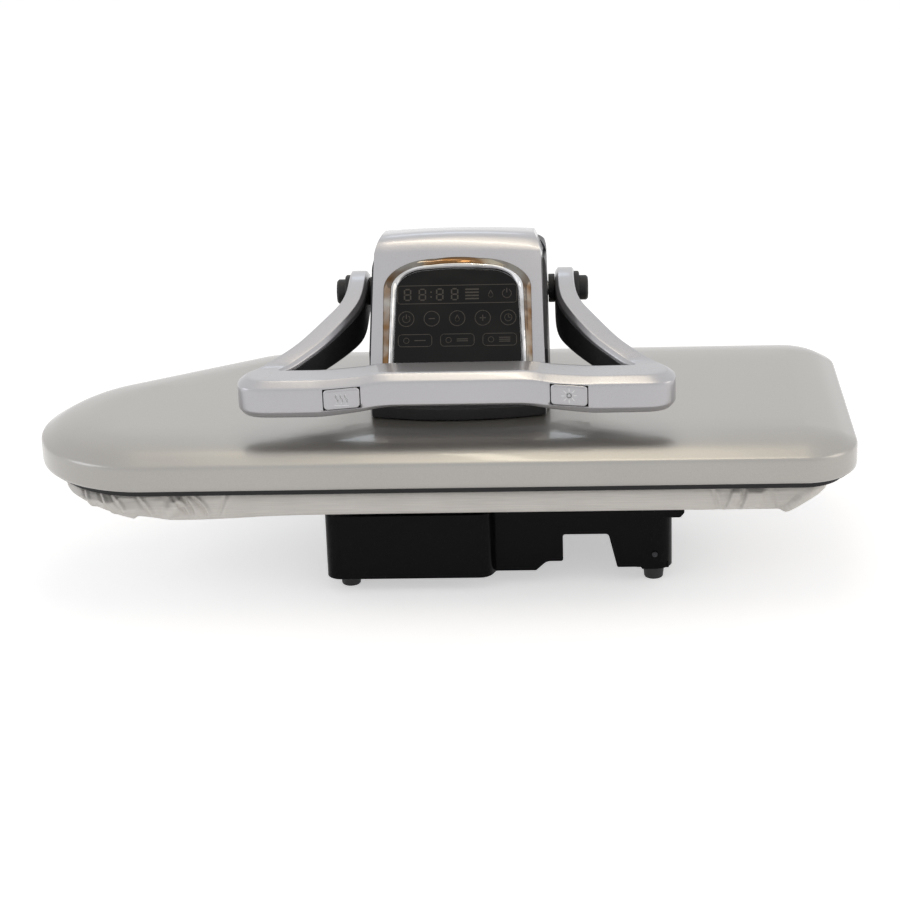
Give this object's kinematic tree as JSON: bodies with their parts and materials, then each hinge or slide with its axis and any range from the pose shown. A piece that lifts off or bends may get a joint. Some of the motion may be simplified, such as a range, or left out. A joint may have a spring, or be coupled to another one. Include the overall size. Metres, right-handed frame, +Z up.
{
  "type": "steam ironing press",
  "caption": "Table-top steam ironing press: hinged heated plate over a padded board, tower with control panel, loop handle with steam buttons, base with slide-out water tank.",
  "frame": {"origin": "centre of the footprint box on the table, under the feet", "axes": "+X to the user's right along the board, +Y to the hinge at the back, +Z up"},
  "size_m": [0.66, 0.372, 0.2768],
  "materials": {
    "silver_paint": "satin metallic silver paint",
    "silver_plastic": "silver lacquered moulding",
    "gloss_black": "glossy black moulding",
    "matt_black": "fine grained black moulding",
    "dark_housing": "dark grey moulding",
    "chrome": "bright plated trim",
    "panel_glass": "black backed gloss panel",
    "cover_cloth": "metallic coated cotton",
    "pad_foam": "open cell foam",
    "steel": "plain steel",
    "aluminium": "machined aluminium",
    "brass": "turned brass",
    "rubber": "soft black rubber",
    "hose_rubber": "silicone rubber",
    "circuit": "green circuit board"
  },
  "bodies": {
    "base": {"base_housing": "gloss_black", "bottom_plates": "matt_black", "rubber_feet": "rubber", "rear_column": "gloss_black", "column_cover": "matt_black", "hinge_shaft": "steel", "board_tray": "aluminium", "board_pad": "pad_foam", "board_cover": "cover_cloth", "board_posts": "matt_black", "chassis": "steel", "water_pump": "matt_black", "pump_hose": "hose_rubber", "power_board": "circuit", "cord_gland": "rubber", "tank_seal": "rubber"},
    "press_arm": {"upper_shell": "silver_paint", "plate_skirt": "matt_black", "soleplate": "aluminium", "heating_element": "steel", "steam_chamber_cover": "aluminium", "thermostat": "brass", "thermal_fuse": "steel", "plate_standoffs": "steel", "tower_cover": "silver_plastic", "arm_housing": "dark_housing", "tower_collar": "matt_black", "control_glass": "panel_glass", "chrome_bezel": "chrome", "display_module": "matt_black", "control_board": "circuit", "arm_frame": "steel", "hinge_bushes": "brass", "steam_hose": "hose_rubber", "steam_valve": "brass", "handle_pivot_shaft": "steel", "pivot_spacers": "matt_black"},
    "handle": {"handle_shell": "silver_plastic", "handle_liner": "matt_black", "button_switches": "matt_black", "pivot_caps": "matt_black"},
    "steam_button_left": {"steam_button_left": "silver_plastic"},
    "steam_button_right": {"steam_button_right": "silver_plastic"},
    "water_tank": {"water_tank": "gloss_black", "tank_filter": "matt_black", "tank_valve": "matt_black"}
  },
  "joints": [
    {"name": "press_open", "type": "hinge", "parent": "base", "child": "press_arm", "pos_m": [0.014, 0.134, 0.116], "axis": [-1, 0, 0], "range_deg": [0, 60]},
    {"name": "handle_lift", "type": "hinge", "parent": "press_arm", "child": "handle", "pos_m": [0.014, 0.011, 0.211], "axis": [-1, 0, 0], "range_deg": [0, 28]},
    {"name": "steam_press_left", "type": "slide", "parent": "handle", "child": "steam_button_left", "axis": [0, 1, 0], "range_m": [0, 0.0025], "stiffness_N_per_m": 500},
    {"name": "steam_press_right", "type": "slide", "parent": "handle", "child": "steam_button_right", "axis": [0, 1, 0], "range_m": [0, 0.0025], "stiffness_N_per_m": 500},
    {"name": "tank_pull", "type": "slide", "parent": "base", "child": "water_tank", "axis": [0, -1, 0], "range_m": [0, 0.155]}
  ]
}
